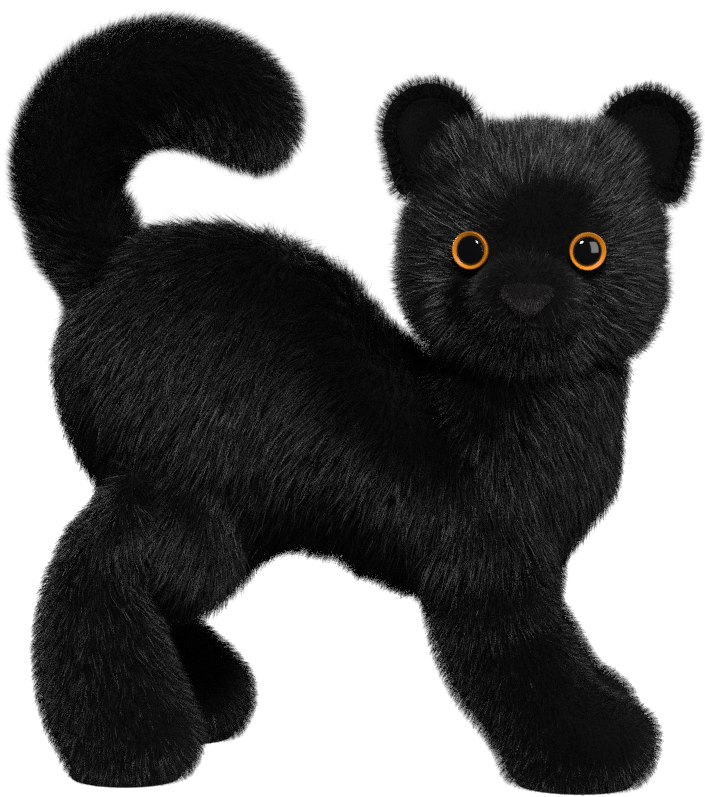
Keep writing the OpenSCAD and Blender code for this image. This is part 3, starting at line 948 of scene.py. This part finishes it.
class PLUSH_OT_ears(bpy.types.Operator):
    """Round ears: furry backs and rims with short-pile linings"""

    bl_idname = "plush.ears"
    bl_label = "Ears"

    def execute(self, context):
        pile = context.scene.plush_pile
        for number, side in enumerate(SIDES):
            body = side + "_ear"
            centre, out, _ = ear_axes(side)
            cloth = ear_mesh(side + "_ear_cloth", side, 0.0,
                             lambda s: -4.4 + 5.8 * s ** 2.2 - 1.6 * s ** 8,
                             lambda s: -6.2 + 4.0 * s ** 2.2 + 1.2 * s ** 8)
            link_mesh(side + "_ear_cloth", cloth, shared("cloth"), body, ())
            root, normal = scatter(cloth, strands_per_mm2(2.2), 91 + number)
            spoke = root - centre
            spoke -= FACE * (spoke @ FACE)[:, None]
            facing = normal @ FACE
            inside = np.linalg.norm(spoke, axis=1) < 9.5 * MM
            keep = (~inside | (facing < 0.2)) & clear_of(root, "head", 5)
            root, normal, spoke, facing = root[keep], normal[keep], spoke[keep], facing[keep]
            flow = unit(spoke) * 0.9 + out * 0.35
            length = np.where(facing > 0.3, 0.8, 1.0) * pile.ear_mm * MM
            # The ears take the paler-tipped copy: painted light.
            grow(side + "_ear_pile", body, side + "_ear_back", root, normal, flow, length,
                 np.where(facing > 0.3, 0.8, 0.85), 0.0, 95 + number, thick=1.5, tuft_mm=1.9, gather=0.9,
                 material=shared("face_pile"))
            lining = ear_mesh(side + "_ear_lining_cloth", side, 4.6,
                              lambda s: -4.0 + 4.6 * s ** 2.2 - 1.2 * s ** 10,
                              lambda s: -4.6 + 4.2 * s ** 2.2)
            link_mesh(side + "_ear_lining_cloth", lining, shared("cloth"), body)
            root, normal = scatter(lining, strands_per_mm2(3.5), 101 + number)
            keep = (normal @ FACE > 0.1) & clear_of(root, "head", 1)
            root, normal = root[keep], normal[keep]
            flow = np.broadcast_to(out, root.shape).copy()
            grow(side + "_ear_lining_pile", body, side + "_ear_lining", root, normal, flow,
                 np.full(len(root), 2.0 * MM), np.full(len(root), 0.9), 0.0, 105 + number,
                 slot="black_short_pile", material=shared("short_pile"), levels=3, tuft_mm=1.5, gather=0.3)
        return {"FINISHED"}


# ---- face


def lathe_mesh(name, origin, axis, outline, spokes=48):
    """Solid of revolution: outline is (distance along the axis, radius) in mm, from pole to pole."""
    turn = Vector(axis).to_track_quat("Z", "Y").to_matrix()
    bm = bmesh.new()
    rows = []
    for height, radius in outline:
        angles = [2 * math.pi * j / spokes for j in range(spokes if radius > 0 else 1)]
        rows.append([
            bm.verts.new(Vector(origin) + turn @ Vector((
                radius * MM * math.cos(angle), radius * MM * math.sin(angle), height * MM)))
            for angle in angles
        ])
    for a, b in zip(rows, rows[1:]):
        bridge(bm, a, b)
    return closed_mesh(name, bm)


def eye_axis(side):
    """Direction that an eye looks in, and the middle of its flange's back."""
    shank = node_points(side + "_eye_backing")
    centre = shank.mean(axis=0)
    axis = unit(node_points(side + "_eye_dome").mean(axis=0) - centre)
    front = ((shank - centre) @ axis).max()
    return axis, centre + axis * front


class PLUSH_OT_eyes(bpy.types.Operator):
    """Clear domes over amber rings and black pupils, with shanks and washers"""

    bl_idname = "plush.eyes"
    bl_label = "Eyes"

    def execute(self, context):
        face = context.scene.plush_face
        glass = clear_material("plush_eye_cap")
        black = moulded_material("plush_pupil", (0.002, 0.002, 0.0024), 0.05, 0.5)
        r = EYE_RADIUS
        pupil = r * face.pupil_share
        quarter = math.pi / 2
        disc_outline = [
            (-1.2, 0), (-1.2, pupil * 0.6), (-1.15, pupil * 0.98), (-0.3, r * 0.93), (0.0, r * 0.98),
            (-0.3, r), (-1.6, r), (-2.0, r * 0.85), (-2.0, 2.0), (-10.5, 2.0), (-11.5, 1.2), (-11.5, 0)]
        bead = [(-1.1 + 1.9 * math.sin(t), pupil * math.cos(t)) for t in np.linspace(0, quarter, 12)[:-1]]
        bead_outline = [(-1.18, 0), (-1.18, pupil * 0.92)] + bead + [(0.8, 0)]
        arc = [(EYE_DOME * math.sin(t) + 0.15, r * math.cos(t)) for t in np.linspace(0, quarter, 14)[:-1]]
        cap_outline = [(0.02, 0), (0.02, r * 0.98)] + arc + [(EYE_DOME + 0.15, 0)]
        for side in SIDES:
            axis, seat = eye_axis(side)
            seat = seat - axis * EYE_SINK * MM
            amber = iris_material(f"plush_iris_{side}", tuple(face.amber), tuple(seat), tuple(axis), r * MM)
            ring = lathe_mesh(side + "_eye_disc", seat, axis, disc_outline)
            link_mesh(side + "_eye_disc", ring, amber, "head", [side + "_eye_backing"])
            spot = lathe_mesh(side + "_eye_pupil", seat, axis, bead_outline)
            link_mesh(side + "_eye_pupil", spot, black, "head")
            cap = lathe_mesh(side + "_eye_cap", seat, axis, cap_outline)
            link_mesh(side + "_eye_cap", cap, glass, "head", [side + "_eye_dome"])
            dress(side + "_eye_washer", "washer")
        return {"FINISHED"}


def nose_height():
    """Height of the nose's middle above the head's, in mm."""
    return (middle("nose_patch") - HEAD)[2] / MM - 1.0


class PLUSH_OT_nose(bpy.types.Operator):
    """Short-pile nose and the stitched mouth"""

    bl_idname = "plush.nose"
    bl_label = "Nose"

    def execute(self, context):
        face = context.scene.plush_face
        points, faces, _ = mesh_arrays(SKINS["head"])
        tree = BVHTree.FromPolygons(points.tolist(), faces.tolist())

        def on_face(left, up, height):
            start = Vector(on_head(80, left, up))
            hit, _, _, _ = tree.ray_cast(start, Vector(-FACE))
            return np.array(hit) + FACE * height * MM

        nose_up = nose_height()
        spokes = 30
        bm = bmesh.new()

        def place(share, j):
            angle = 2 * math.pi * j / spokes
            wide = 1.0 + 0.16 * math.cos(3 * angle - math.pi / 2)
            left = NOSE_HALF[0] * share * wide * math.cos(angle)
            up = nose_up + NOSE_HALF[1] * share * wide * math.sin(angle)
            return on_face(left, up, 0.3 + 2.3 * math.sqrt(1 - share ** 2))

        rim = disc(bm, 5, spokes, place)
        backs = [bm.verts.new(np.array(v.co) - FACE * 1.5 * MM) for v in rim]
        bridge(bm, rim, backs, flip=True)
        bm.faces.new(backs)
        mesh = closed_mesh("nose_pad", bm)
        nose = cloth_material("plush_nose", tuple(face.nose), 1500.0)
        link_mesh("nose_pad", mesh, nose, "head")
        root, normal = scatter(mesh, strands_per_mm2(5.0), 111)
        keep = normal @ FACE > 0.2
        root, normal = root[keep], normal[keep]
        fuzz = pile_material("plush_nose_pile", tuple(face.nose), (0.075, 0.06, 0.055), 0.5, 0.4)
        grow("nose_pile", "head", "nose_patch", root, normal, np.broadcast_to(-UP, root.shape).copy(),
             np.full(len(root), 1.7 * MM), np.full(len(root), 0.8), 0.0, 112, slot="black_short_pile",
             material=fuzz, levels=3, tuft_mm=1.0, gather=0.1)
        curve = bpy.data.curves.new("mouth_thread", "CURVE")
        curve.dimensions = "3D"
        curve.bevel_depth = 0.35 * MM
        curve.bevel_resolution = 2
        smile = [(0, -8.0), (2.0, -9.4), (4.4, -9.8), (6.6, -9.0)]
        lines = [[(0, -5.0), (0, -6.5), (0, -8.0)], smile, [(-left, up) for left, up in smile]]
        for line in lines:
            spline = curve.splines.new("POLY")
            spline.points.add(len(line) - 1)
            for point, (left, up) in zip(spline.points, line):
                point.co = (*on_face(left, nose_up + up, 0.5), 1.0)
        mouth = bpy.data.objects.new("mouth_thread", curve)
        context.scene.collection.objects.link(mouth)
        curve.materials.append(shared("thread"))
        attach(mouth, "head")
        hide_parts("mouth_stitch")
        return {"FINISHED"}


SOLE_OUTLINE = [(0.0, 0.70), (0.25, 0.76), (1.2, 0.8), (2.6, 0.8), (3.4, 0.7)]  # mm up, share of the CAD sole


class PLUSH_OT_soles(bpy.types.Operator):
    """Flat cloth soles, and the neck's sewing thread"""

    bl_idname = "plush.soles"
    bl_label = "Soles"

    def execute(self, context):
        for leg in LEGS:
            low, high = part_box(leg + "_sole")
            centre = (low + high) / 2
            half = (high - low) / 2
            bm = bmesh.new()
            rows = []
            for height, share in SOLE_OUTLINE:
                wide, deep = half.x * share, half.y * share
                rows.append([
                    bm.verts.new((centre.x + wide * math.cos(a), centre.y + deep * math.sin(a), height * MM))
                    for a in np.linspace(0, 2 * math.pi, 40, endpoint=False)
                ])
            for a, b in zip(rows, rows[1:]):
                bridge(bm, a, b)
            bm.faces.new(rows[0][::-1])
            bm.faces.new(rows[-1])
            mesh = closed_mesh(leg + "_sole_pad", bm)
            link_mesh(leg + "_sole_pad", mesh, shared("cloth"), BODIES[leg],
                      [leg + "_sole"])
        dress("neck_thread", "thread")
        return {"FINISHED"}


# ---- stage


def area_light(name, place, target, size, power):
    """Soft rectangular light aimed at a point."""
    light = bpy.data.lights.new(name, "AREA")
    light.shape = "RECTANGLE"
    light.size, light.size_y = size
    light.energy = power
    lamp = bpy.data.objects.new(name, light)
    bpy.context.scene.collection.objects.link(lamp)
    lamp.location = place
    lamp.rotation_euler = (target - place).to_track_quat("-Z", "Y").to_euler()


def around(target, azimuth, elevation, distance):
    """Place at a distance from the target, at angles round it and above it."""
    flat = math.cos(elevation)
    way = Vector((math.sin(azimuth) * flat, -math.cos(azimuth) * flat, math.sin(elevation)))
    return target + way * distance


AIM_HEIGHT = 0.125  # metres, as the distances and sizes of the lights
SENSOR = 36.0
# Name, turn from the camera and height in degrees, distance, size and share of the key light's power.
LIGHTS = (
    ("key", 0, 38, 1.3, (0.3, 0.25), 1.0),
    ("side", 54, 12, 1.4, (0.8, 0.9), 0.6),
    ("top", 160, 60, 1.3, (0.8, 0.6), 0.03),
    ("rear", 215, 22, 1.4, (0.5, 0.5), 0.7),
)


class PLUSH_OT_stage(bpy.types.Operator):
    """Camera, pale floor and soft studio light"""

    bl_idname = "plush.stage"
    bl_label = "Stage"

    def execute(self, context):
        scene = context.scene
        stage = scene.plush_stage
        target = Vector((0.0, 0.0, AIM_HEIGHT))
        a, e = stage.azimuth, stage.elevation
        data = bpy.data.cameras.new("camera")
        data.sensor_fit = "VERTICAL"
        data.sensor_height = SENSOR
        data.sensor_width = SENSOR
        data.lens = SENSOR * stage.distance / stage.view_height
        data.clip_end = 20.0
        camera = bpy.data.objects.new("camera", data)
        scene.collection.objects.link(camera)
        camera.location = around(target, a, e, stage.distance)
        camera.rotation_euler = (target - camera.location).to_track_quat("-Z", "Y").to_euler()
        scene.camera = camera

        bm = bmesh.new()
        bmesh.ops.create_grid(bm, x_segments=2, y_segments=2, size=6.0)
        mesh = bpy.data.meshes.new("floor")
        bm.to_mesh(mesh)
        bm.free()
        floor = bpy.data.objects.new("floor", mesh)
        scene.collection.objects.link(floor)
        material, _, shader = new_material("plush_floor", (0.9, 0.9, 0.9), 0.8, 0.1)
        shader.inputs["Emission Color"].default_value = (1.0, 1.0, 1.0, 1.0)
        shader.inputs["Emission Strength"].default_value = 1.0 - 0.9 * stage.room_light
        mesh.materials.append(material)
        floor.visible_diffuse = False
        floor.visible_glossy = False

        world = bpy.data.worlds.new("studio")
        scene.world = world
        world.use_nodes = True
        tree = world.node_tree
        sky = tree.nodes["Background"]
        sky.inputs["Color"].default_value = (1.0, 1.0, 1.0, 1.0)
        sky.inputs["Strength"].default_value = 1.0
        room = add_node(tree, "ShaderNodeBackground",
                        {"Color": (0.8, 0.88, 1.0, 1.0), "Strength": stage.room_light})
        ray = add_node(tree, "ShaderNodeLightPath").outputs["Is Camera Ray"]
        choose = add_node(tree, "ShaderNodeMixShader", {0: ray, 1: room.outputs[0], 2: sky.outputs[0]})
        tree.links.new(choose.outputs[0], tree.nodes["World Output"].inputs["Surface"])
        for name, turn, height, away, size, share in LIGHTS:
            place = around(target, a + math.radians(turn), math.radians(height), away)
            area_light(name, place, target, size, stage.key_power * share)
        scene.view_settings.view_transform = "Standard"
        scene.cycles.use_denoising = False
        return {"FINISHED"}


# ---- add-on


OPERATORS = (
    PLUSH_OT_stage,
    PLUSH_OT_wadding,
    PLUSH_OT_cloth,
    PLUSH_OT_torso_pile,
    PLUSH_OT_head_pile,
    PLUSH_OT_leg_pile,
    PLUSH_OT_tail_pile,
    PLUSH_OT_ears,
    PLUSH_OT_eyes,
    PLUSH_OT_nose,
    PLUSH_OT_soles,
)
SETTINGS = {"plush_pile": PlushPile, "plush_face": PlushFace, "plush_stage": PlushStage}


class PLUSH_PT_panel(bpy.types.Panel):
    """Builders of the plush cat's pieces"""

    bl_idname = "PLUSH_PT_panel"
    bl_label = "Plush Cat"
    bl_space_type = "VIEW_3D"
    bl_region_type = "UI"
    bl_category = "Plush Cat"

    def draw(self, context):
        for name in SETTINGS:
            group = getattr(context.scene, name)
            box = self.layout.box()
            for prop in group.__annotations__:
                box.prop(group, prop)
        for operator in OPERATORS:
            self.layout.operator(operator.bl_idname)


def register():
    for group in SETTINGS.values():
        bpy.utils.register_class(group)
    for name, group in SETTINGS.items():
        setattr(bpy.types.Scene, name, bpy.props.PointerProperty(type=group))
    for operator in OPERATORS:
        bpy.utils.register_class(operator)
    bpy.utils.register_class(PLUSH_PT_panel)


def unregister():
    bpy.utils.unregister_class(PLUSH_PT_panel)
    for operator in reversed(OPERATORS):
        bpy.utils.unregister_class(operator)
    for name, group in SETTINGS.items():
        delattr(bpy.types.Scene, name)
        bpy.utils.unregister_class(group)


def main():
    register()
    for operator in OPERATORS:
        family, name = operator.bl_idname.split(".")
        getattr(getattr(bpy.ops, family), name)()


if __name__ == "__main__":
    main()
